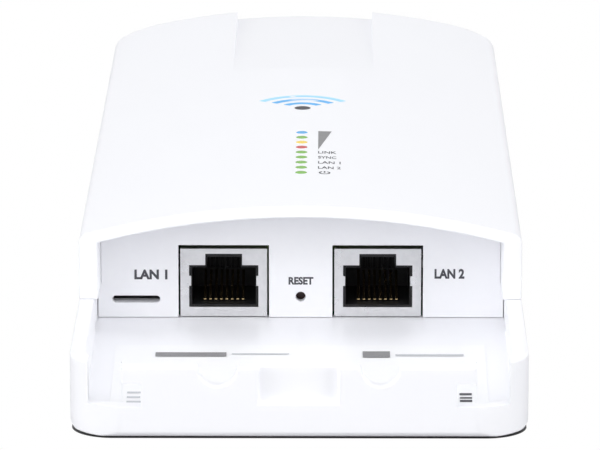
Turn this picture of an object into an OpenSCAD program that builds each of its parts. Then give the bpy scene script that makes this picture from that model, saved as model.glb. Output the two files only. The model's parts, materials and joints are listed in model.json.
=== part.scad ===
// Outdoor radio link unit with two Ethernet jacks in an open cable bay.
// It lies on its back: +Z is up through the arched top, and the cable bay faces -Y.
// Lengths are in millimetres. The origin is on the back face, at the centre of the whole length.

/* [Housing] */
// Width of the housing
body_w = 82; // [81:0.5:84]
// Length of the housing, without the coaxial connectors
body_l = 224; // [222:1:230]
// Height of the crown of the arched top
body_h = 31; // [30.5:0.5:32]
// Height of the seam between the base and the top shell
seam_h = 13.2; // [13:0.1:13.5]
// Radius of the arch across the width
arch_r = 150; // [140:5:170]
// Radius of the corners, seen from above
corner_r = 10; // [9:0.5:11]
// Rounding of the top shell's shoulders
shoulder_r = 2; // [1.5:0.1:2]
// Rounding of the base's lower edges
edge_r = 1.4; // [1.2:0.1:2]
// Thickness of the top shell over the arch
top_wall = 2.2; // [2:0.1:2.4]
// Thickness of the top shell's side walls
top_side_wall = 3.5; // [3.4:0.1:3.6]
// Thickness of the base's side walls
base_wall = 2.8; // [2.7:0.1:2.9]
// Thickness of the base's floor
floor_t = 2.5; // [2.4:0.1:2.6]

/* [Cable bay] */
// Length of the open bay, from the front end to the hood's lip
bay_l = 45.5; // [44:0.5:48]
// Depth of the hood, from its lip to the port panel
hood_l = 13; // [12:0.5:14]
// Height of the shelf in front of the port panel
bay_floor_h = 6.2; // [6.1:0.1:6.3]
// How far the shelf reaches out past the hood's lip, before the floor slopes down
shelf_out = 6; // [5:0.5:7]
// Height of the wall across the front end
front_wall_h = 12.9; // [12.5:0.1:13]
// Thickness of the wall across the front end
front_wall_t = 3; // [2.8:0.1:3.2]
// Radius of the two half-round cable notches
notch_r = 3.5; // [3.2:0.1:3.8]
// Thickness of the port panel
panel_t = 2; // [1.8:0.1:2.2]

/* [Ports] */
// Distance of each Ethernet jack from the centre line
port_x = 14.45; // [14.2:0.05:14.8]
// Width of a jack's metal shield
jack_w = 16.3; // [16:0.1:16.5]
// Height of a jack's metal shield
jack_h = 13.1; // [12.8:0.1:13.2]
// Length of a jack's metal shield
jack_l = 16; // [15:0.5:17]
// Diameter of the reset pinhole
reset_d = 1.9; // [1.6:0.1:2]
// Width of the card slot
card_slot_w = 9; // [8.9:0.1:9.1]
// Travel of the reset button
reset_travel = 0.4; // [0.25:0.05:0.5]

/* [Light pipes] */
// Diameter of a light pipe's tip
pipe_d = 2.2; // [1.8:0.1:2.3]
// Distance between neighbouring light pipes
pipe_pitch = 4.16; // [4:0.02:4.2]
// Distance from the hood's lip to the nearest light pipe
pipe_first = 26.8; // [26:0.1:28]

/* [Connectors] */
// Distance between neighbouring coaxial connectors
coax_pitch = 19; // [18:0.5:20]
// Height of the coaxial connectors' axes
coax_h = 8.4; // [8.4:0.1:8.5]
// Outer radius of a connector's thread
coax_r = 3.175; // [3.15:0.005:3.175]
// How far a connector stands out of the housing
coax_out = 10.5; // [10:0.5:11]

/* [Circuit board] */
// Thickness of the circuit board
board_t = 1.6; // [1.5:0.1:1.6]
// Half width of the board behind the ports
board_half_w = 28; // [27:0.5:28]

/* [Hidden] */
$fn = 48;
arch_fn = 256;
eps = 0.01;
big = 400;

// Stations along Y
front_y = -(body_l + coax_out) / 2;
end_y = front_y + body_l;
lip_y = front_y + bay_l;
shelf_y = lip_y - shelf_out;
panel_y = lip_y + hood_l;
cavity_y = panel_y + panel_t + 0.1;
end_wall_t = 3;
half_w = body_w / 2;
bay_half_w = half_w - base_wall;
hood_half_w = half_w - top_side_wall;
inner_crown = body_h - top_wall;

// Circuit board
board_top = bay_floor_h + 0.2;
board_low = board_top - board_t;
board_y0 = panel_y + 4;
board_wide_y1 = panel_y + 15;
board_y1 = end_y - 12;

// Fastening
boss_x = half_w - 6.8;
boss_ys = [lip_y + 34, lip_y + 100, lip_y + 160];
screw_r = 1.5;
screw_head_r = 2.75;
screw_seat_z = 4.6;
board_screw_r = 1.25;
board_screw_x = 24;
board_screw_ys = [lip_y + 52, end_y - 24];
coax_xs = [-coax_pitch, 0, coax_pitch];
ground_x = -29.5;
coax_neck_r = 2.7;
nut_af = 8;
nut_t = 2.2;
seal_t = 1;
nut_y = end_y + seal_t;
insulator_y = nut_y + nut_t + 0.4;

// Bracket slots in the back
slot_x = 17;
slot_ys = [lip_y + 64, lip_y + 140];
slot_head_w = 9;
slot_neck_w = 5;
slot_step = 8;
slot_skin = 1.5;
slot_depth = 3.5;

// Ethernet jacks
jack_y = panel_y + 0.35;
sheet_t = 0.3;
mouth_low = board_top + 1.8;
mouth_h = 8.1;
mouth_half_w = 6.5;
latch_half_w = 3.45;
latch_h = 2.2;
plug_half_w = 6;
plug_low = mouth_low + 0.4;
plug_h = 7.2;
contact_pitch = 1.02;
contact_count = 8;
contact_w = 0.45;
contact_t = 0.3;

reset_z = 10.3;
plunger_r = 1.2;
card_x = -30.9;
card_z = 9.8;
card_slot_h = 1.35;

// Extrudes a drawing in the XZ plane from y0 to y1.
module along_y(y0, y1) {
    translate([0, y1, 0]) rotate([90, 0, 0]) linear_extrude(y1 - y0) children();
}

// Extrudes a drawing in the YZ plane from x0 to x1.
module along_x(x0, x1) {
    translate([x0, 0, 0]) rotate([90, 0, 90]) linear_extrude(x1 - x0) children();
}

// A block given by its lowest and highest corners.
module block(low, high) {
    translate(low) cube(high - low);
}

// A block between two distances from the centre line, on the side that side's sign names.
module across(side, near, far, y0, y1, z0, z1) {
    block([min(side * near, side * far), y0, z0], [max(side * near, side * far), y1, z1]);
}

// A rectangle seen from above, with rounded corners.
module plan(x_half, y0, y1, r) {
    translate([-x_half + r, y0]) square([2 * (x_half - r), y1 - y0]);
    translate([-x_half, y0 + r]) square([2 * x_half, y1 - y0 - 2 * r]);
    for (x = [-x_half + r, x_half - r], y = [y0 + r, y1 - r]) translate([x, y]) circle(r);
}

// The arch's outline: a shallow arc over two straight sides, with a round of radius r between them.
module arch_outline(x_half, arc_r, crown, low, r) {
    centre_z = crown - arc_r;
    round_x = x_half - r;
    round_z = centre_z + sqrt(pow(arc_r - r, 2) - pow(round_x, 2));
    tangent_x = round_x * arc_r / (arc_r - r);
    intersection() {
        translate([0, centre_z]) circle(arc_r, $fn = arch_fn);
        translate([-tangent_x, low]) square([2 * tangent_x, crown - low + 1]);
    }
    translate([-x_half, low]) square([2 * x_half, round_z - low]);
    for (side = [-1, 1]) translate([side * round_x, round_z]) circle(r);
}

// The plain inner arch, with square shoulders.
module inner_arch(x_half, arc_r, crown, low) {
    intersection() {
        translate([0, crown - arc_r]) circle(arc_r, $fn = arch_fn);
        translate([-x_half, low]) square([2 * x_half, crown - low + 1]);
    }
}

// The base's outline across X, or along Y, with its two lower edges rounded.
module pan_outline(low, high) {
    translate([low + edge_r, 0]) square([high - low - 2 * edge_r, seam_h]);
    translate([low, edge_r]) square([high - low, seam_h - edge_r]);
    for (p = [low + edge_r, high - edge_r]) translate([p, edge_r]) circle(edge_r);
}

module base_body() {
    intersection() {
        along_y(front_y, end_y) pan_outline(-half_w, half_w);
        along_x(-half_w, half_w) pan_outline(front_y, end_y);
        linear_extrude(seam_h) plan(half_w, front_y, end_y, corner_r);
    }
}

// The open space of the cable bay, above a level shelf and a floor that slopes down to the front wall.
module bay_space() {
    intersection() {
        along_x(-bay_half_w, bay_half_w)
            polygon([
                [front_y + front_wall_t, floor_t], [shelf_y, bay_floor_h],
                [cavity_y, bay_floor_h], [cavity_y, big], [front_y + front_wall_t, big]
            ]);
        linear_extrude(seam_h + 1) plan(bay_half_w, front_y + front_wall_t, end_y, corner_r - base_wall);
    }
}

// The closed space behind the port panel, and the hollow that runs on under the bay's floor.
module board_space() {
    translate([0, 0, floor_t])
        linear_extrude(seam_h) plan(bay_half_w, cavity_y, end_y - end_wall_t, 3);
    along_x(-bay_half_w, bay_half_w)
        polygon([
            [front_y + 22, floor_t], [cavity_y + 4, floor_t],
            [cavity_y + 4, bay_floor_h - 2], [cavity_y, bay_floor_h - 2]
        ]);
}

// What is cut out of the front wall: two cable notches, two hook windows and the latch pocket.
module front_wall_cuts() {
    window_low = 5.65;
    window_in = 31.5;
    window_out = 37.5;
    hook_in = 28;
    hook_top = 10;
    pocket_half_w = 7.1;
    pocket_low = 6.2;
    pocket_depth = 1.5;
    y0 = front_y - 1;
    y1 = front_y + front_wall_t + eps;
    corner_y = front_y + 8;
    for (side = [-1, 1]) {
        translate([side * port_x, y1, front_wall_h]) rotate([90, 0, 0]) cylinder(h = y1 - y0, r = notch_r);
        across(side, window_in, window_out, y0, corner_y, window_low, big);
        across(side, hook_in, window_in + 0.5, y0, y1, window_low, hook_top);
    }
    block([-window_in - 1, y0, front_wall_h], [window_in + 1, y1, big]);
    block([-pocket_half_w, y0, pocket_low], [pocket_half_w, front_y + pocket_depth, big]);
}

// A slot for one hook of a dish or pole bracket: the hook enters the wide end and slides under the skin.
module bracket_slot() {
    block([-slot_head_w / 2, -slot_step, -eps], [slot_head_w / 2, 0, slot_depth]);
    block([-slot_head_w / 2, -eps, slot_skin], [slot_head_w / 2, slot_step, slot_depth]);
    block([-slot_neck_w / 2, -eps, -eps], [slot_neck_w / 2, slot_step, slot_depth]);
}

module base_shell() {
    rib_h = board_low - 0.3;
    color("white") difference() {
        union() {
            difference() {
                base_body();
                bay_space();
                board_space();
                front_wall_cuts();
            }
            for (x = [-boss_x, boss_x], y = boss_ys)
                translate([x, y, 1]) cylinder(h = seam_h - 1, r = 4.2);
            for (x = [-board_screw_x, board_screw_x], y = board_screw_ys)
                translate([x, y, 1]) cylinder(h = board_low - 1, r = 2.8);
            for (x = [-slot_x, slot_x], y = slot_ys)
                block([x - slot_head_w / 2 - 1.2, y - slot_step - 1.2, 1],
                      [x + slot_head_w / 2 + 1.2, y + slot_step + 1.2, rib_h]);
            translate([ground_x, end_y - end_wall_t - 4, coax_h]) rotate([-90, 0, 0]) cylinder(h = 5, r = 4);
        }
        for (x = [-boss_x, boss_x], y = boss_ys) {
            translate([x, y, -1]) cylinder(h = screw_seat_z + 1, r = 3.1);
            translate([x, y, 0]) cylinder(h = big, r = screw_r + 0.2);
        }
        for (x = [-board_screw_x, board_screw_x], y = board_screw_ys)
            translate([x, y, 1]) cylinder(h = 10, r = board_screw_r + 0.02);
        for (x = [-slot_x, slot_x], y = slot_ys) translate([x, y, 0]) bracket_slot();
        for (x = coax_xs)
            translate([x, end_y - 8, coax_h]) rotate([-90, 0, 0]) cylinder(h = 12, r = coax_r + 0.1);
        translate([ground_x, end_y - 6.5, coax_h]) rotate([-90, 0, 0]) cylinder(h = 12, r = 2.8);
        gasket_ring(0.95, 1.85, seam_h - 0.8, seam_h + 1);
    }
}

// The seal's path round the board space: a strip of the outline between two insets, open at the port panel.
module gasket_ring(inset_0, inset_1, low, high) {
    translate([0, 0, low]) linear_extrude(high - low) intersection() {
        difference() {
            plan(half_w - inset_0, front_y + inset_0, end_y - inset_0, corner_r - inset_0);
            plan(half_w - inset_1, front_y + inset_1, end_y - inset_1, corner_r - inset_1);
        }
        translate([-half_w, cavity_y]) square([body_w, big]);
    }
}

module seal_gasket() {
    color("dimgray") gasket_ring(1, 1.8, seam_h - 0.8, seam_h);
}

// The shallow ramp that runs down to the far end between two straight steps.
module top_ramp() {
    ramp_half_w = 14.6;
    ramp_l = 61.5;
    ramp_depth = 1.6;
    ramp_y = end_y - ramp_l;
    difference() {
        block([-ramp_half_w, ramp_y + 2, 20], [ramp_half_w, end_y + 1, body_h + 5]);
        translate([0, ramp_y, body_h]) rotate([-90 - atan(ramp_depth / ramp_l), 0, 0])
            translate([0, arch_r, -5]) cylinder(h = ramp_l + 10, r = arch_r, $fn = arch_fn);
    }
}

module top_shell() {
    color("white") difference() {
        union() {
            difference() {
                intersection() {
                    along_y(lip_y, end_y) arch_outline(half_w, arch_r, body_h, seam_h, shoulder_r);
                    linear_extrude(body_h + 1) plan(half_w, front_y, end_y, corner_r);
                }
                intersection() {
                    along_y(lip_y - 1, end_y - end_wall_t)
                        inner_arch(hood_half_w, arch_r - top_wall, inner_crown, seam_h - 1);
                    linear_extrude(body_h) plan(hood_half_w, front_y, end_y - end_wall_t, corner_r - 3);
                }
            }
            for (x = [-boss_x, boss_x], y = boss_ys)
                translate([x, y, seam_h]) cylinder(h = 9.5, r = 3.6);
        }
        top_ramp();
        for (i = [0 : 8])
            translate([0, lip_y + pipe_first + i * pipe_pitch, 20]) cylinder(h = 20, r = pipe_d / 2 + 0.04);
        for (x = [-boss_x, boss_x], y = boss_ys)
            translate([x, y, 0]) cylinder(h = seam_h + 7, r = screw_r + 0.02);
    }
}

// The panel that closes the board space: two jack openings, the reset pinhole and the card slot.
module port_panel() {
    gap = 0.15;
    hood_gap = 0.04;
    color("white") difference() {
        union() {
            along_y(panel_y, panel_y + panel_t)
                inner_arch(hood_half_w - hood_gap, arch_r - top_wall, inner_crown - hood_gap, seam_h - 0.5);
            along_y(panel_y, panel_y + panel_t)
                translate([-bay_half_w + gap, bay_floor_h + 0.1])
                    square([2 * (bay_half_w - gap), seam_h - bay_floor_h - 0.25]);
        }
        for (side = [-1, 1])
            block([side * port_x - jack_w / 2 - 0.35, panel_y - 1, 0],
                  [side * port_x + jack_w / 2 + 0.35, panel_y + 3, board_top + jack_h + 0.75]);
        translate([0, panel_y - 1, reset_z]) rotate([-90, 0, 0]) cylinder(h = 5, r = reset_d / 2);
        along_y(panel_y - 1, panel_y + 3) translate([card_x, card_z]) {
            square([card_slot_w - card_slot_h, card_slot_h], center = true);
            for (side = [-1, 1])
                translate([side * (card_slot_w - card_slot_h) / 2, 0]) circle(card_slot_h / 2);
        }
    }
}

// The paper label stuck to the bay's sloping floor.
module bay_label() {
    run = shelf_y - front_y - front_wall_t;
    rise = bay_floor_h - floor_t;
    color("whitesmoke")
        translate([0, front_y + front_wall_t, floor_t]) rotate([atan(rise / run), 0, 0])
            block([-34, 3, 0.01], [34, norm([run, rise]) - 0.5, 0.13]);
}

module light_pipe(i, tint) {
    color(tint) translate([0, lip_y + pipe_first + i * pipe_pitch, 0]) {
        translate([0, 0, board_top + 1.2]) cylinder(h = body_h - board_top - 1.15, r = pipe_d / 2);
        translate([0, 0, inner_crown - 1.4]) cylinder(h = 1.3, r = pipe_d / 2 + 0.6);
    }
}

module led_chips() {
    color("khaki") for (i = [0 : 8])
        translate([0, lip_y + pipe_first + i * pipe_pitch, board_top + 0.35])
            cube([1.6, 0.8, 0.7], center = true);
}

module main_board() {
    color("darkgreen") difference() {
        union() {
            block([-36.5, board_y0, board_low], [36.5, board_wide_y1, board_top]);
            block([-board_half_w, board_y0, board_low], [board_half_w, board_y1, board_top]);
        }
        for (x = [-board_screw_x, board_screw_x], y = board_screw_ys)
            translate([x, y, 0]) cylinder(h = 20, r = board_screw_r + 0.2);
    }
}

// The mouth of a jack, with its latch channel on top.
module jack_mouth(half, low, high, latch_half, latch_high) {
    translate([-half, low]) square([2 * half, high - low]);
    translate([-latch_half, low]) square([2 * latch_half, latch_high - low]);
}

module jack_shield() {
    high = board_top + jack_h;
    tab = 0.4;
    color("silver") difference() {
        block([-jack_w / 2, jack_y, board_top], [jack_w / 2, jack_y + jack_l, high]);
        block([-jack_w / 2 + sheet_t, jack_y + sheet_t, 0],
              [jack_w / 2 - sheet_t, jack_y + jack_l + 1, high - sheet_t]);
        difference() {
            along_y(jack_y - 1, jack_y + 1)
                jack_mouth(mouth_half_w, mouth_low, mouth_low + mouth_h,
                           latch_half_w, mouth_low + mouth_h + latch_h);
            for (side = [-1, 1])
                across(side, mouth_half_w - tab, jack_w / 2, jack_y - 2, jack_y + 2,
                       mouth_low + 4.1, mouth_low + 6);
        }
    }
}

module jack_insert() {
    y0 = jack_y + sheet_t + 0.05;
    y1 = jack_y + jack_l - 0.5;
    comb_low = plug_low + 3.6;
    color([0.06, 0.06, 0.07]) difference() {
        block([-jack_w / 2 + 0.35, y0, board_top + 0.05], [jack_w / 2 - 0.35, y1, board_top + jack_h - 0.35]);
        along_y(y0 - 1, y1 - 1.5)
            jack_mouth(plug_half_w, plug_low, plug_low + plug_h, 3.2, plug_low + plug_h + 2);
        for (i = [0 : contact_count - 1])
            translate([(i - (contact_count - 1) / 2) * contact_pitch, y1 - 1.2, comb_low + 1.8])
                cube([0.6, 1.4, 3.6], center = true);
    }
}

// Eight spring beams that rise from the mouth's floor towards the back.
module jack_contacts() {
    beam_l = 8.4;
    rise = 26;
    pivot_y = jack_y + 3;
    pivot_z = plug_low + 0.35;
    color("gold") for (i = [0 : contact_count - 1])
        translate([(i - (contact_count - 1) / 2) * contact_pitch - contact_w / 2, pivot_y, pivot_z]) {
            rotate([rise, 0, 0]) block([0, 0, -contact_t / 2], [contact_w, beam_l, contact_t / 2]);
            rotate([0, 90, 0]) cylinder(h = contact_w, r = contact_t / 2, $fn = 24);
        }
}

module reset_switch_body() {
    color([0.1, 0.1, 0.11]) difference() {
        block([-3.2, panel_y + 4.5, board_top], [3.2, panel_y + 8.5, board_top + 7]);
        translate([0, panel_y + 4, reset_z]) rotate([-90, 0, 0])
            cylinder(h = 2.6 + reset_travel, r = plunger_r + 0.05);
    }
}

module reset_plunger() {
    color([0.25, 0.12, 0.1])
        translate([0, panel_y + 2.7, reset_z]) rotate([-90, 0, 0]) cylinder(h = 3.6, r = plunger_r);
}

module card_socket() {
    y0 = panel_y + panel_t + 0.2;
    color("gray") difference() {
        block([card_x - 5.2, y0, board_top], [card_x + 5.2, y0 + 12.5, card_z + 1.6]);
        block([card_x - 4.5, y0 - 1, card_z - 0.5], [card_x + 4.5, y0 + 11, card_z + 0.5]);
        block([card_x - 4.6, y0 - 1, 0], [card_x + 4.6, y0 + 1.85, board_top + 0.5]);
    }
}

// A pressed metal can with an open underside.
module can(half_x, y0, y1, h) {
    wall = 0.3;
    difference() {
        block([-half_x, y0, board_top], [half_x, y1, board_top + h]);
        block([-half_x + wall, y0 + wall, 0], [half_x - wall, y1 - wall, board_top + h - wall]);
    }
}

module processor_can() {
    color("lightgray") can(15, lip_y + 70, lip_y + 100, 3);
}

module processor_chip() {
    color([0.12, 0.12, 0.13]) block([-7, lip_y + 78, board_top], [7, lip_y + 92, board_top + 1.4]);
}

module thermal_pad() {
    color("lightblue") block([-12, lip_y + 73, board_top + 3], [12, lip_y + 97, board_top + 4]);
}

module heat_sink() {
    low = board_top + 4;
    fin_pitch = 3.6;
    color("darkgray") {
        block([-15, lip_y + 70, low], [15, lip_y + 100, low + 2]);
        for (i = [-4 : 4])
            block([i * fin_pitch - 0.5, lip_y + 70, low + 2 - eps],
                  [i * fin_pitch + 0.5, lip_y + 100, low + 12]);
    }
}

module radio_can() {
    color("lightgray") can(20, lip_y + 106, lip_y + 148, 3.5);
}

module radio_chips() {
    color([0.12, 0.12, 0.13]) for (x = [-9, 9], y = [lip_y + 116, lip_y + 136])
        block([x - 3.5, y - 3.5, board_top], [x + 3.5, y + 3.5, board_top + 1]);
}

module gps_module() {
    color("silver") block([-6, lip_y + 150, board_top], [6, lip_y + 159, board_top + 2.4]);
}

module ethernet_magnetics() {
    color([0.08, 0.08, 0.09]) for (side = [-1, 1])
        block([side * port_x - 8, lip_y + 34, board_top], [side * port_x + 8, lip_y + 46, board_top + 6]);
}

module capacitors() {
    color("slategray") for (side = [-1, 1])
        translate([side * 12, lip_y + 54, board_top]) cylinder(h = 9, r = 4);
}

module power_inductors() {
    color("dimgray") for (side = [-1, 1])
        block([side * 20 - 3.5, lip_y + 60, board_top], [side * 20 + 3.5, lip_y + 67, board_top + 4]);
}

// One threaded coaxial connector, with the block that solders to the board.
module antenna_connector(x) {
    block_y = board_y1 - 5;
    color("goldenrod") translate([x, 0, coax_h]) difference() {
        union() {
            block([-3.2, block_y, board_top - coax_h], [3.2, board_y1 + 1, 2]);
            translate([0, board_y1 + 0.5, 0]) rotate([-90, 0, 0])
                cylinder(h = nut_y + nut_t - board_y1 - 0.5, r = coax_neck_r);
            translate([0, nut_y + nut_t - eps, 0]) rotate([-90, 0, 0])
                cylinder(h = coax_out - seal_t - nut_t + eps, r = coax_r);
        }
        translate([0, insulator_y, 0]) rotate([-90, 0, 0]) cylinder(h = 20, r = 2.3);
    }
}

module connector_insulators() {
    color("ivory") for (x = coax_xs) translate([x, insulator_y, coax_h]) rotate([-90, 0, 0]) difference() {
        cylinder(h = 5.5, r = 2.28);
        translate([0, 0, 1]) cylinder(h = 6, r = 0.66);
    }
}

module connector_pins() {
    color("gold") for (x = coax_xs)
        translate([x, insulator_y + 1, coax_h]) rotate([-90, 0, 0]) cylinder(h = 5.4, r = 0.64);
}

module connector_seals() {
    color([0.07, 0.07, 0.07])
    for (x = coax_xs) translate([x, end_y, coax_h]) rotate([-90, 0, 0]) difference() {
        cylinder(h = seal_t, r = 4.3);
        translate([0, 0, -1]) cylinder(h = 5, r = coax_r + 0.03);
    }
}

module connector_nuts() {
    color("goldenrod") for (x = coax_xs)
        translate([x, nut_y, coax_h]) rotate([-90, 0, 0]) difference() {
            cylinder(h = nut_t, r = nut_af / 2 / cos(30), $fn = 6);
            translate([0, 0, -1]) cylinder(h = 5, r = coax_r + 0.03);
        }
}

module ground_insert() {
    color("goldenrod") translate([ground_x, end_y - 6, coax_h]) rotate([-90, 0, 0]) difference() {
        cylinder(h = 6, r = 2.78);
        translate([0, 0, -1]) cylinder(h = 10, r = 2.02);
    }
}

module ground_washer() {
    color("silver") translate([ground_x, end_y, coax_h]) rotate([-90, 0, 0]) difference() {
        cylinder(h = 0.8, r = 3.9);
        translate([0, 0, -1]) cylinder(h = 4, r = 2.1);
    }
}

module ground_screw() {
    color("silver") translate([ground_x, end_y + 0.8, coax_h]) rotate([-90, 0, 0]) difference() {
        union() {
            cylinder(h = 2.4, r = 3.5);
            translate([0, 0, -6]) cylinder(h = 6 + eps, r = 2);
        }
        for (turn = [0, 90]) rotate(turn) translate([0, 0, 2.4]) cube([4, 0.9, 2.4], center = true);
    }
}

// A round-headed screw pointing up +Z, with its head's seat at the origin and a cross recess below.
module screw_up(r, head_r, head_h, length) {
    difference() {
        union() {
            translate([0, 0, -head_h]) cylinder(h = head_h, r = head_r);
            translate([0, 0, -eps]) cylinder(h = length + eps, r = r);
        }
        for (turn = [0, 90])
            rotate(turn) translate([0, 0, -head_h]) cube([head_r * 1.2, 0.7, 2], center = true);
    }
}

module housing_screws() {
    color("lightgray") for (x = [-boss_x, boss_x], y = boss_ys)
        translate([x, y, screw_seat_z]) screw_up(screw_r, screw_head_r, 1.9, 15);
}

module board_screws() {
    color("lightgray") for (x = [-board_screw_x, board_screw_x], y = board_screw_ys)
        translate([x, y, board_top]) rotate([180, 0, 0]) screw_up(board_screw_r, 2.3, 1.6, 4.6);
}

module left() {
    translate([-port_x, 0, 0]) children();
}

module right() {
    translate([port_x, 0, 0]) children();
}

base_shell();
top_shell();
port_panel();
seal_gasket();
bay_label();
light_pipe(0, "limegreen");  // light_pipe_power
light_pipe(1, "limegreen");  // light_pipe_lan_2
light_pipe(2, "limegreen");  // light_pipe_lan_1
light_pipe(3, "limegreen");  // light_pipe_sync
light_pipe(4, "limegreen");  // light_pipe_link
light_pipe(5, "red");  // light_pipe_signal_1
light_pipe(6, "gold");  // light_pipe_signal_2
light_pipe(7, "limegreen");  // light_pipe_signal_3
light_pipe(8, "deepskyblue");  // light_pipe_signal_4
main_board();
led_chips();
left() jack_shield();  // jack_left_shield
left() jack_insert();  // jack_left_insert
left() jack_contacts();  // jack_left_contacts
right() jack_shield();  // jack_right_shield
right() jack_insert();  // jack_right_insert
right() jack_contacts();  // jack_right_contacts
reset_switch_body();
reset_plunger();
card_socket();
processor_can();
processor_chip();
thermal_pad();
heat_sink();
radio_can();
radio_chips();
gps_module();
ethernet_magnetics();
capacitors();
power_inductors();
antenna_connector(-coax_pitch);  // antenna_connector_left
antenna_connector(coax_pitch);  // antenna_connector_right
antenna_connector(0);  // sync_connector
connector_insulators();
connector_pins();
connector_seals();
connector_nuts();
ground_screw();
ground_washer();
ground_insert();
housing_screws();
board_screws();
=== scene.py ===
# %% [markdown]
# # An outdoor radio link unit on a pale table
#
# This lesson dresses a finished engineering model of an outdoor radio: a long white housing that lies on
# its back, with two network jacks in an open cable bay at its near end. The engineering parts come in with
# exact sizes but with knife-sharp edges and no surfaces. We round their edges, add what an engineer's model
# leaves out, such as print, thread ridges and label bars, and build every finish from procedural nodes.

# %% Load the engineering model
import json
import math

import bmesh
import bpy
from mathutils import Matrix, Vector


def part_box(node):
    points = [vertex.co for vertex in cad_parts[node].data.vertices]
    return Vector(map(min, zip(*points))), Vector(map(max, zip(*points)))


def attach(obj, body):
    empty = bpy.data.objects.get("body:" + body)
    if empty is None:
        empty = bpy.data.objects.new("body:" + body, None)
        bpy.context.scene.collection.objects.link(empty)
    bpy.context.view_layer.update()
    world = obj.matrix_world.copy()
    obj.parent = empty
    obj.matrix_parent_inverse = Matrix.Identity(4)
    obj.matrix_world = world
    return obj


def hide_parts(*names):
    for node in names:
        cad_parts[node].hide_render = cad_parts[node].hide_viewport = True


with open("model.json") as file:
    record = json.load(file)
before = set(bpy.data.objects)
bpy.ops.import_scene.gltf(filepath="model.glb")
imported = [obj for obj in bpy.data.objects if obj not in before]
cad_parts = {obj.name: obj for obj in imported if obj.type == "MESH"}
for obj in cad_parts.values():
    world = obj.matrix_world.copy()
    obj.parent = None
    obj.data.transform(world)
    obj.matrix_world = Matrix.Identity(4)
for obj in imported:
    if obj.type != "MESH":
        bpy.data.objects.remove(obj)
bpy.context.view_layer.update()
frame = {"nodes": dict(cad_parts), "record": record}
nodes = frame["nodes"]
slot_of = {part["node"]: part["material_slot"] for part in frame["record"]["subparts"]}
body_of = {node: body for body, names in frame["record"]["behaviour"]["bodies"].items() for node in names}
MM = 0.001

# %% [markdown]
# ## Places to build from
#
# Every later position comes from the boxes of the engineering parts. The housing's top is a shallow arch
# across its width, so we keep one small function that gives the arch's height at any distance from the
# centre line. Print on the top uses it to follow the curve.

# %% Read the main places
base_low, base_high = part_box("base_shell")
top_low, top_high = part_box("top_shell")
LIP_Y = top_low.y
END_Y = top_high.y
FRONT_Y = base_low.y
PANEL_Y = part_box("port_panel")[0].y
CROWN_Z = top_high.z
ARCH_RADIUS = 150 * MM


def arch_height(x):
    """Height of the arched top at the distance x from the centre line."""
    return CROWN_Z - ARCH_RADIUS + math.sqrt(ARCH_RADIUS ** 2 - x ** 2)


print("lip at", round(LIP_Y / MM, 2), "mm, port panel at", round(PANEL_Y / MM, 2), "mm")

# %% [markdown]
# ## The camera
#
# A studio camera for small goods stands well back with a long lens, so that the housing's sides hardly
# converge. Here it looks down by about fourteen degrees at the lip of the hood. The lens is given in
# millimetres on a sensor 36 mm wide. The Standard view transform leaves white as white, where the usual
# filmic one would turn it grey.

# %% Place the camera
CAMERA_AIM = Vector((-0.06 * MM, LIP_Y, 27.48 * MM))
CAMERA_FROM = CAMERA_AIM + Vector((5.01, -925.9, 233.8)) * MM
LENS_MM = 310.5
camera_data = bpy.data.cameras.new("camera")
camera_data.lens = LENS_MM
camera_data.sensor_width = 36
camera_data.clip_start = 0.01
camera = bpy.data.objects.new("camera", camera_data)
camera.location = CAMERA_FROM
camera.rotation_euler = (CAMERA_AIM - CAMERA_FROM).to_track_quat("-Z", "Y").to_euler()
bpy.context.scene.collection.objects.link(camera)
bpy.context.scene.camera = camera
bpy.context.scene.view_settings.view_transform = "Standard"
print("camera", [round(v, 4) for v in camera.location])

# %% [markdown]
# ## Studio light, the table and a painted contact shadow
#
# White plastic on a white table needs light from nearly everywhere, and it still has to show its edges. So
# the world is a dome in two parts. Overhead it is one even grey. Lower down, a colour ramp over the
# direction's Y value leaves a bright band well to the left and right of the camera, and almost nothing
# behind the camera or beyond the housing. Three soft boxes add direction: a wide one high in front, one
# from the left that leaves a shadow beside the hood's left post, and one behind the camera that opens up
# the cable bay.
#
# The table has to look plain white, but real white paper would throw so much light back up that the bay
# lost its shadows. Its finish, further down, therefore shows white to the camera and grey to every other
# ray. A dark sheet lies a little inside the housing's outline as a painted contact shadow, so all that
# shows of it is a thin dark line of painted shade along the lower edge.

# %% The dome
DOME_STRENGTH = 6.8
OVERHEAD = (0.148, 0.149, 0.151, 1)
LOW_BAND = {0.0: 0.0, 0.15: 0.0, 0.3: 1.0, 0.5: 0.02, 0.7: 0.04, 1.0: 0.08}
world = bpy.data.worlds.new("studio")
world.use_nodes = True
bpy.context.scene.world = world
dome = world.node_tree
dome_place = dome.nodes.new("ShaderNodeTexCoord")
dome_split = dome.nodes.new("ShaderNodeSeparateXYZ")
dome.links.new(dome_place.outputs["Generated"], dome_split.inputs["Vector"])


def dome_range(axis, low, high, smooth):
    """A 0 to 1 value over part of the dome, measured along one axis of the direction."""
    node = dome.nodes.new("ShaderNodeMapRange")
    node.interpolation_type = "SMOOTHSTEP" if smooth else "LINEAR"
    node.inputs["From Min"].default_value = low
    node.inputs["From Max"].default_value = high
    dome.links.new(dome_split.outputs[axis], node.inputs["Value"])
    return node.outputs["Result"]


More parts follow.
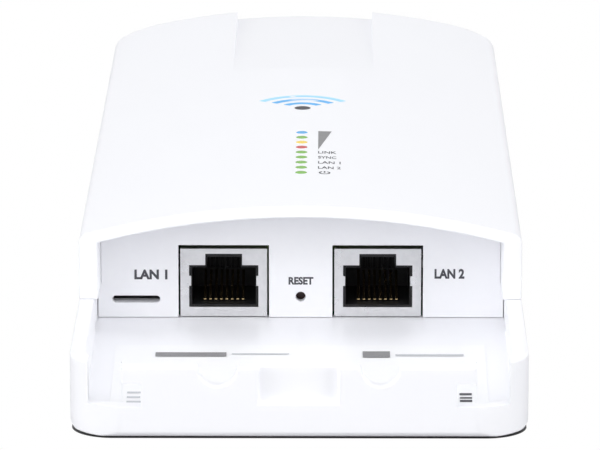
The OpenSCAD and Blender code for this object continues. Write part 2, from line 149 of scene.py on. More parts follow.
dome_ramp_node = dome.nodes.new("ShaderNodeValToRGB")
dome_ramp = dome_ramp_node.color_ramp
while len(dome_ramp.elements) < len(LOW_BAND):
    dome_ramp.elements.new(0.5)
for element, (place, level) in zip(dome_ramp.elements, LOW_BAND.items()):
    element.position = place
    element.color = (level, level, level, 1)
dome_mix = dome.nodes.new("ShaderNodeMix")
dome_mix.data_type = "RGBA"
dome_mix.inputs["B"].default_value = OVERHEAD
dome.links.new(dome_range("Y", -1, 1, False), dome_ramp_node.inputs["Fac"])
dome.links.new(dome_range("Z", 0.3, 0.7, True), dome_mix.inputs["Factor"])
dome.links.new(dome_ramp_node.outputs["Color"], dome_mix.inputs["A"])
dome.links.new(dome_mix.outputs["Result"], dome.nodes["Background"].inputs["Color"])
dome.nodes["Background"].inputs["Strength"].default_value = DOME_STRENGTH
print("dome levels", list(LOW_BAND.values()), "below", OVERHEAD[:3])


# %% The soft boxes
def soft_box(name, place, aim, width, height, power):
    """A large rectangular area light that points from place to aim, in metres and watts."""
    light = bpy.data.lights.new(name, "AREA")
    light.shape = "RECTANGLE"
    light.size = width
    light.size_y = height
    light.energy = power
    holder = bpy.data.objects.new(name, light)
    holder.location = place
    holder.rotation_euler = (Vector(aim) - Vector(place)).to_track_quat("-Z", "Y").to_euler()
    bpy.context.scene.collection.objects.link(holder)


soft_box("high_box", (-0.06, -0.6, 0.5), (0, -0.04, 0), 0.7, 0.4, 0.6)
soft_box("left_box", (-0.42, -0.95, 0.3), (0, LIP_Y, 0.015), 0.4, 0.35, 1.0)
soft_box("camera_box", (0.0, -1.08, 0.3), (0, LIP_Y, 0.015), 0.5, 0.35, 0.83)

# %% The table, and a dark sheet that paints the contact shadow
TABLE_Z = -0.65 * MM
CONTACT_SHADOW_Z = -0.6 * MM
CONTACT_SHADOW_CORNER = 7.5 * MM
CONTACT_SHADOW_SIDE_INSET = 0.3 * MM
CONTACT_SHADOW_FRONT_INSET = 1.9 * MM
CONTACT_SHADOW_FAR_INSET = 2 * MM
CONTACT_SHADOW_STEPS = 64

table_mesh = bpy.data.meshes.new("table")
bm = bmesh.new()
bmesh.ops.create_grid(bm, x_segments=1, y_segments=1, size=4)
bm.to_mesh(table_mesh)
bm.free()
table = bpy.data.objects.new("table", table_mesh)
table.location.z = TABLE_Z
bpy.context.scene.collection.objects.link(table)

# A dark sheet as a painted contact shadow: only a thin dark line of it shows along the housing's lower edge.
contact_shadow_mesh = bpy.data.meshes.new("painted_contact_shadow")
bm = bmesh.new()
contact_shadow_rim = []
for step in range(CONTACT_SHADOW_STEPS):
    turn = 2 * math.pi * (step + 0.5) / CONTACT_SHADOW_STEPS
    across, along = math.cos(turn), math.sin(turn)
    contact_shadow_x = math.copysign(base_high.x - CONTACT_SHADOW_SIDE_INSET - CONTACT_SHADOW_CORNER, across) + CONTACT_SHADOW_CORNER * across
    contact_shadow_corner_y = END_Y - CONTACT_SHADOW_FAR_INSET - CONTACT_SHADOW_CORNER if along > 0 else FRONT_Y + CONTACT_SHADOW_FRONT_INSET + CONTACT_SHADOW_CORNER
    contact_shadow_rim.append(bm.verts.new((contact_shadow_x, contact_shadow_corner_y + CONTACT_SHADOW_CORNER * along, CONTACT_SHADOW_Z)))
bm.faces.new(contact_shadow_rim)
bm.to_mesh(contact_shadow_mesh)
bm.free()
contact_shadow_sheet = bpy.data.objects.new("painted_contact_shadow", contact_shadow_mesh)
bpy.context.scene.collection.objects.link(contact_shadow_sheet)
print("contact_shadow_sheet", [round(size / MM, 1) for size in contact_shadow_sheet.dimensions], "mm, table at", round(TABLE_Z / MM, 2), "mm")

# %% [markdown]
# ## Shared surface effects
#
# Moulded plastic, sheet metal and film all show the same few effects at different strengths: a very fine
# grain, a slow drift of tone over some centimetres, and handling marks that change only the gloss. Each
# effect is a node group with named sockets, built once and dropped into each material with its own values.
# The groups give out masks and heights only; the shader itself stays in each material.

# %% A helper to make node groups
def new_group(name, inputs, outputs):
    """An empty group with float inputs (name, default) and named outputs. Returns it and its two ends."""
    group = bpy.data.node_groups.new(name, "ShaderNodeTree")
    for label, default in inputs:
        socket = group.interface.new_socket(label, in_out="INPUT", socket_type="NodeSocketFloat")
        socket.default_value = default
    for label in outputs:
        group.interface.new_socket(label, in_out="OUTPUT", socket_type="NodeSocketFloat")
    return group, group.nodes.new("NodeGroupInput"), group.nodes.new("NodeGroupOutput")


def noise_in(group, scale, detail=2.0, stretch=(1, 1, 1)):
    """A noise texture on Object coordinates inside a group, with its own stretch. Returns the noise node."""
    place = group.nodes.new("ShaderNodeTexCoord")
    mapping = group.nodes.new("ShaderNodeMapping")
    mapping.inputs["Scale"].default_value = stretch
    noise = group.nodes.new("ShaderNodeTexNoise")
    noise.inputs["Scale"].default_value = scale
    noise.inputs["Detail"].default_value = detail
    group.links.new(place.outputs["Object"], mapping.inputs["Vector"])
    group.links.new(mapping.outputs["Vector"], noise.inputs["Vector"])
    return noise


def math_in(group, operation, a, b):
    """A math node inside a group. Each of a and b is a socket or a number. Returns the result socket."""
    node = group.nodes.new("ShaderNodeMath")
    node.operation = operation
    for socket, value in zip(node.inputs, (a, b)):
        if isinstance(value, (int, float)):
            socket.default_value = value
        else:
            group.links.new(value, socket)
    return node.outputs[0]


# %% Fine grain: the spark-eroded skin of a mould
grain, grain_in, grain_out = new_group("fine_grain", [("Scale", 3000.0), ("Depth", 1.0)], ["Height", "Mask"])
grain_noise = noise_in(grain, 3000.0, 3.0)
grain.links.new(grain_in.outputs["Scale"], grain_noise.inputs["Scale"])
grain.links.new(math_in(grain, "MULTIPLY", grain_noise.outputs["Fac"], grain_in.outputs["Depth"]),
                grain_out.inputs["Height"])
grain.links.new(grain_noise.outputs["Fac"], grain_out.inputs["Mask"])

# %% Slow drift: the faint cloudiness of tone over a large moulding
drift, drift_in, drift_out = new_group("slow_drift", [("Scale", 40.0), ("Amount", 1.0)], ["Mask"])
drift_noise = noise_in(drift, 40.0, 3.0)
drift.links.new(drift_in.outputs["Scale"], drift_noise.inputs["Scale"])
centred = math_in(drift, "SUBTRACT", drift_noise.outputs["Fac"], 0.5)
scaled = math_in(drift, "MULTIPLY", centred, drift_in.outputs["Amount"])
drift.links.new(math_in(drift, "ADD", scaled, 0.5), drift_out.inputs["Mask"])

# %% Handling marks: faint streaks that only change how sharp a reflection is
marks, marks_in, marks_out = new_group("handling_marks", [("Base", 0.4), ("Amount", 0.05)], ["Roughness"])
marks_noise = noise_in(marks, 220.0, 5.0, stretch=(1, 0.25, 1))
swing = math_in(marks, "SUBTRACT", marks_noise.outputs["Fac"], 0.5)
marks.links.new(math_in(marks, "ADD", math_in(marks, "MULTIPLY", swing, marks_in.outputs["Amount"]),
                        marks_in.outputs["Base"]), marks_out.inputs["Roughness"])

# %% Drawn lines: the fine parallel scratches that rolling and brushing leave in sheet metal
lines, lines_in, lines_out = new_group("drawn_lines", [("Depth", 1.0)], ["Height", "Mask"])
lines_noise = noise_in(lines, 1500.0, stretch=(0.06, 1, 1))
lines.links.new(math_in(lines, "MULTIPLY", lines_noise.outputs["Fac"], lines_in.outputs["Depth"]),
                lines_out.inputs["Height"])
lines.links.new(lines_noise.outputs["Fac"], lines_out.inputs["Mask"])

# %% Worn edges: a mask that is bright on convex edges, from the mesh's own sharpness
CONVEX_FROM = 0.52
CONVEX_GAIN = 9.0
wear, wear_in, wear_out = new_group("worn_edges", [("Amount", 1.0)], ["Mask"])
geometry = wear.nodes.new("ShaderNodeNewGeometry")
convex = math_in(wear, "SUBTRACT", geometry.outputs["Pointiness"], CONVEX_FROM)
steep = wear.nodes.new("ShaderNodeClamp")
wear.links.new(math_in(wear, "MULTIPLY", convex, CONVEX_GAIN), steep.inputs["Value"])
wear_noise = noise_in(wear, 900.0, 3.0)
broken = math_in(wear, "MULTIPLY", steep.outputs["Result"], wear_noise.outputs["Fac"])
wear.links.new(math_in(wear, "MULTIPLY", broken, wear_in.outputs["Amount"]), wear_out.inputs["Mask"])
print("node groups", [g.name for g in bpy.data.node_groups])

# %% [markdown]
# ## Finishes
#
# One function builds a finish: a base colour that drifts a little towards a second tone, edges that catch a
# third, gloss broken by handling marks, and a bump from the grain or the drawn lines. What differs between
# white housing plastic, tin plate and brass is only the numbers. Values that are even over the surface,
# such as the coat or the index of refraction, are set straight on the shader. The order of the colours is
# base, second tone, worn edge.

# %% A helper to make finishes
materials = {}
EDGE_WEAR = 0.7


def finish(name, colour, second=None, edge=None, rough=0.4, marks_amount=0.06, grain_scale=3000.0, bump=0.02,
           metal=0.0, brushed=False, drift_scale=40.0, drift_amount=1.0, even=None):
    """A procedural material. even holds values set directly on the shader, by socket name."""
    material = bpy.data.materials.new(name)
    material.use_nodes = True
    tree = material.node_tree
    shader = tree.nodes["Principled BSDF"]
    second = second or tuple(c * 0.94 for c in colour)
    edge = edge or tuple(min(1.0, c * 1.08) for c in colour)

    def group_node(group, **values):
        node = tree.nodes.new("ShaderNodeGroup")
        node.node_tree = group
        for label, value in values.items():
            node.inputs[label].default_value = value
        return node

    def mixed(factor, a, b):
        node = tree.nodes.new("ShaderNodeMix")
        node.data_type = "RGBA"
        node.inputs["A"].default_value = (*a, 1) if isinstance(a, tuple) else (0, 0, 0, 1)
        if not isinstance(a, tuple):
            tree.links.new(a, node.inputs["A"])
        node.inputs["B"].default_value = (*b, 1)
        tree.links.new(factor, node.inputs["Factor"])
        return node.outputs["Result"]

    tone = mixed(group_node(drift, Scale=drift_scale, Amount=drift_amount).outputs["Mask"], colour, second)
    tone = mixed(group_node(wear, Amount=EDGE_WEAR).outputs["Mask"], tone, edge)
    tree.links.new(tone, shader.inputs["Base Color"])
    gloss = group_node(marks, Base=rough, Amount=marks_amount)
    tree.links.new(gloss.outputs["Roughness"], shader.inputs["Roughness"])
    relief = group_node(lines, Depth=1.0) if brushed else group_node(grain, Scale=grain_scale, Depth=1.0)
    bump_node = tree.nodes.new("ShaderNodeBump")
    bump_node.inputs["Strength"].default_value = 1.0
    bump_node.inputs["Distance"].default_value = bump * MM
    tree.links.new(relief.outputs["Height"], bump_node.inputs["Height"])
    tree.links.new(bump_node.outputs["Normal"], shader.inputs["Normal"])
    shader.inputs["Metallic"].default_value = metal
    for label, value in (even or {}).items():
        shader.inputs[label].default_value = value
    materials[name] = material
    return material


# %% The white housing plastic and the papers
finish("white_shell", (0.925, 0.928, 0.955), (0.912, 0.916, 0.948), (0.96, 0.962, 0.98), rough=0.36,
       marks_amount=0.08, grain_scale=2600.0, bump=0.006, even={"IOR": 1.49})
finish("label_paper", (0.93, 0.935, 0.95), (0.91, 0.915, 0.935), rough=0.3, bump=0.002, grain_scale=1500.0)
print("white finishes", list(materials))

# %% The painted contact shadow, and a table that is plain white to the camera and grey to everything else
finish("painted_contact_shadow", (0.12, 0.12, 0.12), rough=0.8, grain_scale=900.0)
contact_shadow_sheet.data.materials.append(materials["painted_contact_shadow"])
finish("table", (0.45, 0.45, 0.46), (0.43, 0.43, 0.44), rough=0.7, bump=0.01, grain_scale=900.0,
       drift_scale=3.0)
table_tree = materials["table"].node_tree
table_rays = table_tree.nodes.new("ShaderNodeLightPath")
table_white = table_tree.nodes.new("ShaderNodeEmission")
table_blend = table_tree.nodes.new("ShaderNodeMixShader")
table_tree.links.new(table_rays.outputs["Is Camera Ray"], table_blend.inputs["Fac"])
table_tree.links.new(table_tree.nodes["Principled BSDF"].outputs["BSDF"], table_blend.inputs[1])
table_tree.links.new(table_white.outputs["Emission"], table_blend.inputs[2])
table_tree.links.new(table_blend.outputs["Shader"], table_tree.nodes["Material Output"].inputs["Surface"])
table.data.materials.append(materials["table"])
print("stage finishes", [piece.data.materials[0].name for piece in (contact_shadow_sheet, table)])

# %% Inks
INKS = {"ink_dark": (0.055, 0.055, 0.066), "ink_grey": (0.225, 0.225, 0.23), "ink_blue": (0.1, 0.42, 0.8),
        "ink_pale_blue": (0.35, 0.68, 0.93), "ink_bar": (0.5, 0.51, 0.54)}
for ink, colour in INKS.items():
    finish(ink, colour, tuple(c * 1.12 for c in colour), tuple(c * 1.2 for c in colour), rough=0.5,
           grain_scale=5000.0, bump=0.001, drift_scale=900.0)
print("inks", list(INKS))

# %% Light pipes: clear tinted plastic with a faint painted glow, an emission that stands in for the room's light in them
PIPE_GLOW = 0.12
PIPES = {"pipe_green": (0.15, 0.4, 0.03), "pipe_red": (0.52, 0.028, 0.028), "pipe_amber": (0.82, 0.58, 0.04),
         "pipe_blue": (0.05, 0.35, 0.72)}
for pipe, colour in PIPES.items():
    finish(pipe, colour, tuple(c * 1.1 for c in colour), tuple(min(1, c * 1.35 + 0.05) for c in colour),
           rough=0.22, bump=0.001, even={"Coat Weight": 0.3, "Emission Color": (*colour, 1),
                                         "Emission Strength": PIPE_GLOW})
print("light pipes in", list(PIPES))

# %% Metals
finish("tinned_steel", (0.74, 0.74, 0.745), (0.68, 0.685, 0.7), (0.92, 0.92, 0.93), rough=0.3,
       marks_amount=0.2, metal=1.0, brushed=True, bump=0.004, drift_scale=260.0)
finish("socket_steel", (0.58, 0.58, 0.6), rough=0.32, metal=1.0, brushed=True, bump=0.004)
finish("screw_steel", (0.62, 0.62, 0.6), (0.5, 0.5, 0.5), (0.85, 0.85, 0.84), rough=0.34, marks_amount=0.25,
       metal=1.0, bump=0.004, drift_scale=700.0)
finish("cast_alloy", (0.6, 0.6, 0.62), rough=0.38, metal=1.0, brushed=True, bump=0.008)
finish("can_aluminium", (0.62, 0.65, 0.7), rough=0.28, metal=1.0, brushed=True, bump=0.003)
finish("gold_plate", (0.66, 0.48, 0.22), (0.6, 0.43, 0.2), (0.86, 0.7, 0.42), rough=0.26, metal=1.0,
       bump=0.001)
finish("brass_fitting", (0.83, 0.66, 0.36), (0.74, 0.57, 0.3), (0.97, 0.84, 0.58), rough=0.26,
       marks_amount=0.16, metal=1.0, bump=0.003, drift_scale=400.0)
print(len(materials), "finishes so far")

# %% Dark plastics, rubber and the small parts' resins
finish("black_plastic", (0.013, 0.013, 0.014), (0.017, 0.017, 0.018), (0.03, 0.03, 0.032), rough=0.42,
       marks_amount=0.14, bump=0.006, grain_scale=4000.0, even={"Specular IOR Level": 0.2})
finish("red_plastic", (0.07, 0.03, 0.028), (0.06, 0.028, 0.026), rough=0.4, bump=0.004)
finish("seal_rubber", (0.022, 0.022, 0.024), (0.035, 0.035, 0.036), rough=0.72, bump=0.012,
       grain_scale=2500.0)
finish("silicone", (0.33, 0.42, 0.52), rough=0.65, bump=0.01)
finish("white_insulator", (0.84, 0.83, 0.79), rough=0.3, bump=0.002)
finish("led_resin", (0.8, 0.77, 0.42), rough=0.2, bump=0.001)

# %% The board: green lacquer with a faint relief of tracks under it
board = finish("circuit_board", (0.012, 0.10, 0.045), (0.01, 0.075, 0.035), (0.04, 0.2, 0.1), rough=0.28,
               bump=0.004, even={"Coat Weight": 0.35, "Coat Roughness": 0.12})
board_tree = board.node_tree
tracks = board_tree.nodes.new("ShaderNodeTexBrick")
tracks.inputs["Scale"].default_value = 160.0
tracks.inputs["Mortar Size"].default_value = 0.035
track_relief = board_tree.nodes.new("ShaderNodeBump")
track_relief.inputs["Distance"].default_value = 0.03 * MM
track_place = board_tree.nodes.new("ShaderNodeTexCoord")
board_tree.links.new(track_place.outputs["Object"], tracks.inputs["Vector"])
board_tree.links.new(tracks.outputs["Fac"], track_relief.inputs["Height"])
board_shader = board_tree.nodes["Principled BSDF"]
board_tree.links.new(board_shader.inputs["Normal"].links[0].from_socket, track_relief.inputs["Normal"])
board_tree.links.new(track_relief.outputs["Normal"], board_shader.inputs["Normal"])
print(len(materials), "finishes")

# %% [markdown]
# ## Rounded edges on every moulding
#
# No moulded or pressed part has a knife edge, and the thin highlight along a rounded edge is what tells the
# eye that white plastic is thick and real. Each engineering part is copied, its loose triangles are welded,
# and its flat areas are joined up. A few straight cuts then divide the largest flat faces, because a bevel
# next to a big face full of holes can fold it. Last, the bevel operator rounds the sharp edges that a test
# lets through, so tiny steps inside the housing stay as they are. One short edge would hold back a clamped
# bevel everywhere, so it runs free, and afterwards each corner is brought back inside the part's own box.
#
# The shading has to follow. A crease that isn't rounded keeps a hard break, and a Weighted Normal modifier
# turns the large faces' shading flat, so that only the narrow round edges catch the light. The copy stands
# for the engineering part, which stays hidden for collision.

# %% Put finished meshes in the scene
SHARP_ANGLE = math.radians(30)
CREASE_ANGLE = math.radians(13)
BREAK_ANGLE = math.radians(50)
FLAT_ANGLE = math.radians(0.4)
WELD = 0.002 * MM


def into_scene(mesh, name, material, body="housing"):
    """Links a finished mesh at the origin, with one material, on the body it moves with."""
    piece = bpy.data.objects.new(name, mesh)
    bpy.context.scene.collection.objects.link(piece)
    mesh.materials.clear()
    mesh.materials.append(materials[material])
    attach(piece, body)
    return piece


def shade_soft(mesh):
    """Smooth shading, with hard breaks only where faces meet at more than the sharp angle."""
    for face in mesh.polygons:
        face.use_smooth = True
    mesh.set_sharp_from_angle(angle=SHARP_ANGLE)


def keep_flats_flat(piece):
    """Turns the shading on large flat faces towards the face, so that only the narrow round edges curve."""
    even = piece.modifiers.new("flats", "WEIGHTED_NORMAL")
    even.keep_sharp = True
    even.weight = 50


# %% Round the edges of an engineering part
def everywhere(middle):
    """The edge test that lets every sharp edge through."""
    return True


def rounded(node, width, cuts=(), lets_through=everywhere, mend=None):
    """A welded copy of an engineering part, its edges rounded by a width in metres. cuts are (axis, place)
    planes, and mend is a function that first tidies the welded bmesh."""
    bm = bmesh.new()
    bm.from_mesh(nodes[node].data)
    bmesh.ops.remove_doubles(bm, verts=bm.verts, dist=WELD)
    if mend:
        mend(bm)
    bmesh.ops.dissolve_limit(bm, angle_limit=FLAT_ANGLE, verts=bm.verts, edges=bm.edges)
    for axis, place in cuts:
        normal = Vector((axis == "x", axis == "y", axis == "z"))
        everything = bm.verts[:] + bm.edges[:] + bm.faces[:]
        bmesh.ops.bisect_plane(bm, geom=everything, dist=1e-7, plane_co=normal * place, plane_no=normal)
    bm.normal_update()
    corners = [edge for edge in bm.edges if edge.calc_face_angle(0) > SHARP_ANGLE
               and lets_through((edge.verts[0].co + edge.verts[1].co) / 2)]
    to_round = set(corners)
    for edge in bm.edges:
        edge.smooth = edge in to_round or edge.calc_face_angle(0) < CREASE_ANGLE
    bmesh.ops.bevel(bm, geom=corners, offset=width, offset_type="OFFSET", segments=2, profile=0.5,
                    affect="EDGES", clamp_overlap=False, material=-1)
    low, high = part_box(node)
    for corner in bm.verts:
        corner.co = Vector(max(least, min(most, at)) for at, least, most in zip(corner.co, low, high))
    bm.normal_update()
    for edge in bm.edges:
        edge.smooth = edge.smooth and edge.calc_face_angle(0) < BREAK_ANGLE
    for face in bm.faces:
        face.smooth = True
    mesh = bpy.data.meshes.new(node + "_rounded")
    bm.to_mesh(mesh)
    bm.free()
    piece = into_scene(mesh, node + "_rounded", slot_of[node], body_of[node])
    keep_flats_flat(piece)
    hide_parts(node)
    print(node, len(corners), "edges rounded,", len(mesh.polygons), "faces")


# %% The tray that forms the back and the cable bay
TRAY_EDGE = 0.3 * MM
RIM_CUT = 39.6 * MM
NEAR_HOOD = LIP_Y + 3 * MM
SIDE_X = base_high.x - 0.15 * MM
WINDOW_BACK = FRONT_Y + 9 * MM


def on_tray_outside(middle):
    """Edges seen on the tray: the bay, the back and the outside, but not the posts beside the windows."""
    x = abs(middle.x)
    beside_window = middle.y < WINDOW_BACK and 27 * MM < x < 38 * MM and middle.z > 5 * MM
    near_or_below = middle.y < NEAR_HOOD or middle.z < 0.02 * MM
    outside = near_or_below or x > SIDE_X or middle.y > END_Y - 0.05 * MM
    return outside and not beside_window


tray_cuts = [("y", NEAR_HOOD), ("y", FRONT_Y + 10 * MM), ("y", END_Y - 1.3 * MM), ("y", END_Y - 4 * MM),
             ("x", RIM_CUT), ("x", -RIM_CUT), ("x", 0), ("z", 11.5 * MM)]
rounded("base_shell", TRAY_EDGE, tray_cuts, on_tray_outside)


# %% The arched top with its hood
TOP_EDGE = 0.35 * MM
HOOD_DEPTH = 8 * MM
RAMP_START = END_Y - 59.5 * MM
CORNER = 10 * MM
CORNER_BAND = 0.4 * MM


def on_top_outside(middle):
    """The hood's lip, the seam at the sides, and the far end with its two round corners."""
    x = abs(middle.x)
    at_seam = middle.z < top_low.z + 0.1 * MM and x > SIDE_X
    in_corner = middle.y > END_Y - CORNER and x > base_high.x - CORNER
    on_arc = math.hypot(x - base_high.x + CORNER, middle.y - END_Y + CORNER) > CORNER - CORNER_BAND
    at_far_end = middle.y > END_Y - 0.1 * MM or (in_corner and on_arc)
    return middle.y < LIP_Y + HOOD_DEPTH or at_seam or at_far_end


def fade_ramp_in(bm):
    """Welds the twentieth of a millimetre step where the ramp starts, so that it fades into the arch."""
    arch_side = top_low.z + 14 * MM
    at_start = [v for v in bm.verts if abs(v.co.y - RAMP_START) < 0.02 * MM and v.co.z > arch_side]
    bmesh.ops.remove_doubles(bm, verts=at_start, dist=0.12 * MM)
    print(len(at_start), "corners at the ramp's start")


top_cuts = [("y", LIP_Y + 20 * MM), ("x", 0), ("y", END_Y - 4 * MM), ("x", RIM_CUT), ("x", -RIM_CUT)]
rounded("top_shell", TOP_EDGE, top_cuts, on_top_outside, mend=fade_ramp_in)

# %% The port panel and the network jacks
PANEL_EDGE = 0.12 * MM
SHIELD_EDGE = 0.06 * MM
INSERT_EDGE = 0.1 * MM
rounded("port_panel", PANEL_EDGE)
for side in ("left", "right"):
    rounded("jack_" + side + "_shield", SHIELD_EDGE)
    rounded("jack_" + side + "_insert", INSERT_EDGE)

# %% [markdown]
# ## Small mouldings, fasteners and fittings
#
# The light pipes, screws, nuts and the earthing point are simple turned or moulded shapes. The same
# rounding gives each its catch-light, at a width that suits its size. The parts sealed inside the housing
# keep their engineering shapes and only take a finish.

# %% Round the small parts (widths in millimetres)
PIPE_EDGE = 0.1
SMALL_EDGES = {"housing_screws": 0.18, "ground_screw": 0.2, "ground_washer": 0.12, "connector_nuts": 0.15,
               "connector_seals": 0.2, "connector_insulators": 0.08, "connector_pins": 0.12,
               "reset_plunger": 0.15, "bay_label": 0.02, "card_socket": 0.08, "reset_switch_body": 0.15}
light_pipes = sorted(node for node in nodes if node.startswith("light_pipe_"))
for node in light_pipes:
    rounded(node, PIPE_EDGE * MM)
for node, width in SMALL_EDGES.items():
    rounded(node, width * MM)

# %% [markdown]
# ## Coaxial connectors with real threads
#
# A threaded barrel is a row of ridges. A full spin of one edge profile about the barrel's axis makes it: the
# profile climbs from the axis to the barrel's neck, runs out along the thread in saw teeth, turns over the
# rim, and goes down the bore. The box of the engineering part gives the ends and the axis's X, and the box of
# the rubber seals gives its height, so the new piece fits where the old one was. A small block with bevelled
# edges joins it to the board.

# %% Turn a profile round an axis along Y
TURN_STEPS = 48


def turned(profile, centre_x, centre_z):
    """A turned shape in a bmesh. profile holds (distance along Y, radius) from the axis back to the axis."""
    bm = bmesh.new()
    points = [bm.verts.new((centre_x + radius, along, centre_z)) for along, radius in profile]
    chain = [bm.edges.new(pair) for pair in zip(points, points[1:])]
    bmesh.ops.spin(bm, geom=points + chain, cent=(centre_x, 0, centre_z), axis=(0, 1, 0), angle=2 * math.pi,
                   steps=TURN_STEPS, use_merge=True)
    bmesh.ops.remove_doubles(bm, verts=bm.verts, dist=0.001 * MM)
    bmesh.ops.recalc_face_normals(bm, faces=bm.faces)
    return bm


# %% Build the three connectors
THREAD_PITCH = 25.4 / 36 * MM
CREST = 3.175 * MM
ROOT = CREST - 0.38 * MM
BORE_RADIUS = 2.3 * MM
BORE_BEVEL = 0.12 * MM
NECK_RADIUS = 2.7 * MM
BARREL_LENGTH = 21.5 * MM
RUN_IN = 0.15 * MM
RUN_OUT = 0.5 * MM
TIP = 0.35 * MM
BLOCK_LENGTH = 6 * MM
BLOCK_ABOVE = 2 * MM
BLOCK_EDGE = 0.25 * MM
seal_low, seal_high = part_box("connector_seals")
nut_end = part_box("connector_nuts")[1].y


def threaded(start, stop):
    """Profile points of a ridged barrel from start to stop."""
    points = [(start, ROOT)]
    along = start + RUN_IN
    while along + THREAD_PITCH < stop - RUN_OUT:
        points += [(along, ROOT), (along + 0.4 * THREAD_PITCH, CREST), (along + 0.55 * THREAD_PITCH, CREST)]
        along += THREAD_PITCH
    points += [(along, ROOT), (stop - TIP, ROOT), (stop, CREST - 0.7 * MM)]
    return points


def coaxial_connector(node):
    """A threaded barrel with its bore, on the solder block that sits on the board."""
    low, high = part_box(node)
    centre_x = (low.x + high.x) / 2
    centre_z = (seal_low.z + seal_high.z) / 2
    barrel_back = high.y - BARREL_LENGTH
    bore_end = nut_end + 0.4 * MM
    profile = [(barrel_back, 0), (barrel_back, NECK_RADIUS), (nut_end, NECK_RADIUS)]
    profile += threaded(nut_end, high.y)
    profile += [(high.y, BORE_RADIUS + BORE_BEVEL), (high.y - BORE_BEVEL, BORE_RADIUS)]
    profile += [(bore_end, BORE_RADIUS), (bore_end, 0)]
    bm = turned(profile, centre_x, centre_z)
    block = bmesh.ops.create_cube(bm, size=1)["verts"]
    size = Vector((high.x - low.x, BLOCK_LENGTH, centre_z + BLOCK_ABOVE - low.z))
    middle = Vector((centre_x, low.y + size.y / 2, low.z + size.z / 2))
    bmesh.ops.scale(bm, vec=size, verts=block)
    bmesh.ops.translate(bm, vec=middle, verts=block)
    block_edges = list({edge for vert in block for edge in vert.link_edges})
    bmesh.ops.bevel(bm, geom=block_edges, offset=BLOCK_EDGE, segments=2, profile=0.5, affect="EDGES",
                    material=-1)
    mesh = bpy.data.meshes.new(node + "_threaded")
    bm.to_mesh(mesh)
    bm.free()
    shade_soft(mesh)
    piece = into_scene(mesh, node + "_threaded", "brass_fitting")
    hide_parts(node)


for node in ("antenna_connector_left", "sync_connector", "antenna_connector_right"):
    coaxial_connector(node)
print("thread pitch", round(THREAD_PITCH / MM, 3), "mm")

# %% Finish the parts sealed inside
for node, part in nodes.items():
    part.data.materials.clear()
    part.data.materials.append(materials[slot_of[node]])
print(len(nodes), "engineering parts have a finish")

# %% [markdown]
# ## Print
#
# The lettering is pad-printed ink a few hundredths of a millimetre thick. Words start as text objects,
# because Blender's own font gives clean outlines. They are turned into meshes with a little thickness,
# fitted to a width and height, and laid on the port panel or bent over the arched top. An offset of the
# outlines makes the panel's words heavier than the small ones beside the lights. All the words are plain
# port and light names.

# %% Make and lay print
INK = 0.02 * MM
PRINT_LIFT = 0.012 * MM
HEAVY = 0.042
LIGHT = 0.008


def word_mesh(text, width, height, bold):
    """A thin closed mesh of a word, centred on the origin in XY, fitted to a width and height."""
    curve = bpy.data.curves.new(text, "FONT")
    curve.body = text
    curve.extrude = INK / 2
    curve.offset = bold
    curve.resolution_u = 4
    holder = bpy.data.objects.new(text, curve)
    bpy.context.scene.collection.objects.link(holder)
    bpy.context.view_layer.update()
    mesh = bpy.data.meshes.new_from_object(holder.evaluated_get(bpy.context.evaluated_depsgraph_get()))
    bpy.data.objects.remove(holder)
    bm = bmesh.new()
    bm.from_mesh(mesh)
    bmesh.ops.remove_doubles(bm, verts=bm.verts, dist=1e-5)
    xs = [v.co.x for v in bm.verts]
    ys = [v.co.y for v in bm.verts]
    middle = Vector(((min(xs) + max(xs)) / 2, (min(ys) + max(ys)) / 2, 0))
    bmesh.ops.translate(bm, vec=-middle, verts=bm.verts)
    bmesh.ops.scale(bm, vec=(width / (max(xs) - min(xs)), height / (max(ys) - min(ys)), 1), verts=bm.verts)
    return bm


def lay_on_panel(bm, x, z):
    """Stands a flat mesh up on the port panel's face, at X and Z."""
    bmesh.ops.rotate(bm, verts=bm.verts, cent=(0, 0, 0), matrix=Matrix.Rotation(math.pi / 2, 3, "X"))
    bmesh.ops.translate(bm, vec=(x, PANEL_Y - PRINT_LIFT, z), verts=bm.verts)


def lay_on_arch(bm, x, y):
    """Bends a flat mesh over the arched top, at X and Y."""
    bmesh.ops.translate(bm, vec=(x, y, 0), verts=bm.verts)
    for vert in bm.verts:
        vert.co.z += arch_height(vert.co.x) + PRINT_LIFT


def printed(bm, name, ink):
    """Puts a laid print mesh in the scene in its ink."""
    mesh = bpy.data.meshes.new(name)
    bm.to_mesh(mesh)
    bm.free()
    return into_scene(mesh, name, ink)


# %% Words on the port panel
for text, x, z, width, height in (("LAN 1", -28.1, 14.6, 6.2, 1.9), ("LAN 2", 27.9, 14.8, 5.6, 1.9),
                                  ("RESET", 0.05, 13.4, 4.65, 1.5)):
    word = word_mesh(text, width * MM, height * MM, HEAVY)
    lay_on_panel(word, x * MM, z * MM)
    printed(word, "print_" + text.replace(" ", "_").lower(), "ink_dark")

# %% Words beside the lights
PIPE_FIRST_Y = (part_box("light_pipe_power")[0].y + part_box("light_pipe_power")[1].y) / 2
PIPE_LAST_Y = (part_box("light_pipe_signal_4")[0].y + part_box("light_pipe_signal_4")[1].y) / 2
PIPE_PITCH = (PIPE_LAST_Y - PIPE_FIRST_Y) / 8
WORD_X = 3.2 * MM
WORD_HEIGHT = 1.9 * MM
LIGHT_WORDS = (("LAN 2", 1, 4.3), ("LAN 1", 2, 4.3), ("SYNC", 3, 3.5), ("LINK", 4, 3.5))
for text, place, width in LIGHT_WORDS:
    word = word_mesh(text, width * MM, WORD_HEIGHT, LIGHT)
    lay_on_arch(word, WORD_X + width * MM / 2, PIPE_FIRST_Y + place * PIPE_PITCH)
    printed(word, "print_light_" + text.replace(" ", "_").lower(), "ink_dark")
print("light words every", round(PIPE_PITCH / MM, 2), "mm")


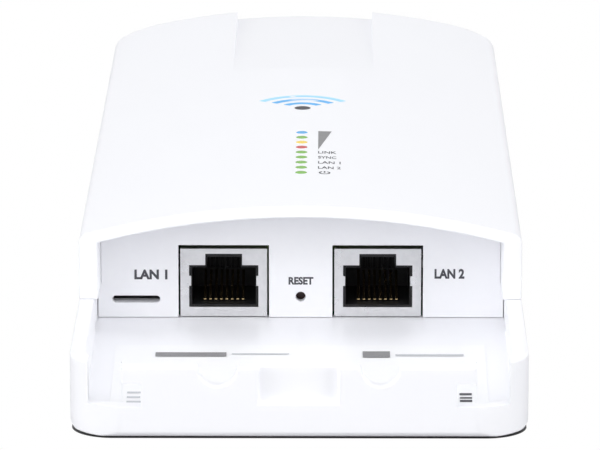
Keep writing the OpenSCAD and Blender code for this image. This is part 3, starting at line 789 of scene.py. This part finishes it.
# %% Flat print shapes: bars, arcs and the signal wedge
def flat_outline(points):
    """A thin closed plate from an outline in XY, its thickness centred on Z = 0."""
    bm = bmesh.new()
    face = bm.faces.new([bm.verts.new((x, y, -INK / 2)) for x, y in points])
    bm.normal_update()
    lifted = bmesh.ops.extrude_face_region(bm, geom=[face])["geom"]
    bmesh.ops.translate(bm, vec=(0, 0, INK), verts=[g for g in lifted if isinstance(g, bmesh.types.BMVert)])
    bmesh.ops.recalc_face_normals(bm, faces=bm.faces)
    return bm


def arc_band(radius, thickness, start, stop, steps=24):
    """The outline of a curved band round the origin, from one angle to another in degrees."""
    angles = [math.radians(start + (stop - start) * i / steps) for i in range(steps + 1)]
    outer = [((radius + thickness / 2) * math.cos(a), (radius + thickness / 2) * math.sin(a)) for a in angles]
    inner = [((radius - thickness / 2) * math.cos(a), (radius - thickness / 2) * math.sin(a)) for a in angles]
    return outer + inner[::-1]


wedge = flat_outline([(0, 0), (2.6 * MM, 0), (0, -15.6 * MM)])
lay_on_arch(wedge, WORD_X, PIPE_LAST_Y + 1.2 * MM)
printed(wedge, "print_signal_wedge", "ink_grey")

SIGN_X = WORD_X + 1.25 * MM
power_ring = flat_outline(arc_band(0.95 * MM, 0.3 * MM, 120, 420))
lay_on_arch(power_ring, SIGN_X, PIPE_FIRST_Y)
printed(power_ring, "print_power_ring", "ink_dark")
BAR_CORNERS = ((-0.15, 0.1), (0.15, 0.1), (0.15, 1.25), (-0.15, 1.25))
power_bar = flat_outline([(x * MM, y * MM) for x, y in BAR_CORNERS])
lay_on_arch(power_bar, SIGN_X, PIPE_FIRST_Y)
printed(power_bar, "print_power_bar", "ink_dark")
print("power sign at", round(SIGN_X / MM, 2), round(PIPE_FIRST_Y / MM, 2), "mm")

# %% [markdown]
# ## A plain mark and the bay's label
#
# Where a maker would put its badge there is only a plain signal symbol: a dot under three arcs, in two
# blues. The film label on the bay's floor has grey bars where its text would be. The bars stand on the
# label's own slope, which is read from the label's box.

# %% Signal symbol on the top
MARK_Y = LIP_Y + 81.5 * MM
ARC_THICKNESS = 1.5 * MM
for number, (radius, ink) in enumerate(((4.2, "ink_blue"), (7.4, "ink_blue"), (10.6, "ink_pale_blue"))):
    band = flat_outline(arc_band(radius * MM, ARC_THICKNESS, 40, 140))
    lay_on_arch(band, 0, MARK_Y)
    printed(band, "print_mark_arc_" + str(number + 1), ink)
DOT_STEPS = 40
whole_turn = arc_band(0.8 * MM, 1.6 * MM, 0, 352, DOT_STEPS)
dot = flat_outline(whole_turn[:DOT_STEPS + 1])
lay_on_arch(dot, 0, MARK_Y)
printed(dot, "print_mark_dot", "ink_dark")
print("symbol at", round(MARK_Y / MM, 2), "mm along the top")

# %% Bars on the label
label_low, label_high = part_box("bay_label")
LABEL_SLOPE = math.atan((label_high.z - label_low.z) / (label_high.y - label_low.y))
FILM = 0.13 * MM


def label_bar(name, x0, x1, y0, y1, ink="ink_bar"):
    """A bar in millimetres: X from the centre line, Y up the slope from the label's near edge."""
    bar = flat_outline([(x * MM, y * MM) for x, y in ((x0, y0), (x1, y0), (x1, y1), (x0, y1))])
    bmesh.ops.rotate(bar, verts=bar.verts, cent=(0, 0, 0), matrix=Matrix.Rotation(LABEL_SLOPE, 3, "X"))
    bmesh.ops.translate(bar, vec=(0, label_low.y, label_low.z + FILM + PRINT_LIFT), verts=bar.verts)
    printed(bar, name, ink)


label_bar("label_bar_left", -26.5, -13.5, 27.2, 29.2, "ink_grey")
label_bar("label_rule_left", -12.5, -2, 28.3, 28.7)
label_bar("label_bar_right_block", 11.5, 16.5, 26.8, 29.8, "ink_grey")
label_bar("label_bar_right", 17.5, 30, 27.6, 28.4)
for row in range(4):
    label_bar("label_line_" + str(row + 1), -31, -28.6 + 0.4 * (row % 2), 2.5 + 2.2 * row, 3.3 + 2.2 * row)
for row in range(5):
    foot = 1.6 * row
    label_bar("label_code_" + str(row + 1), 28.8, 31, 2 + foot, 3 + foot - 0.3 * (row % 2), "ink_dark")
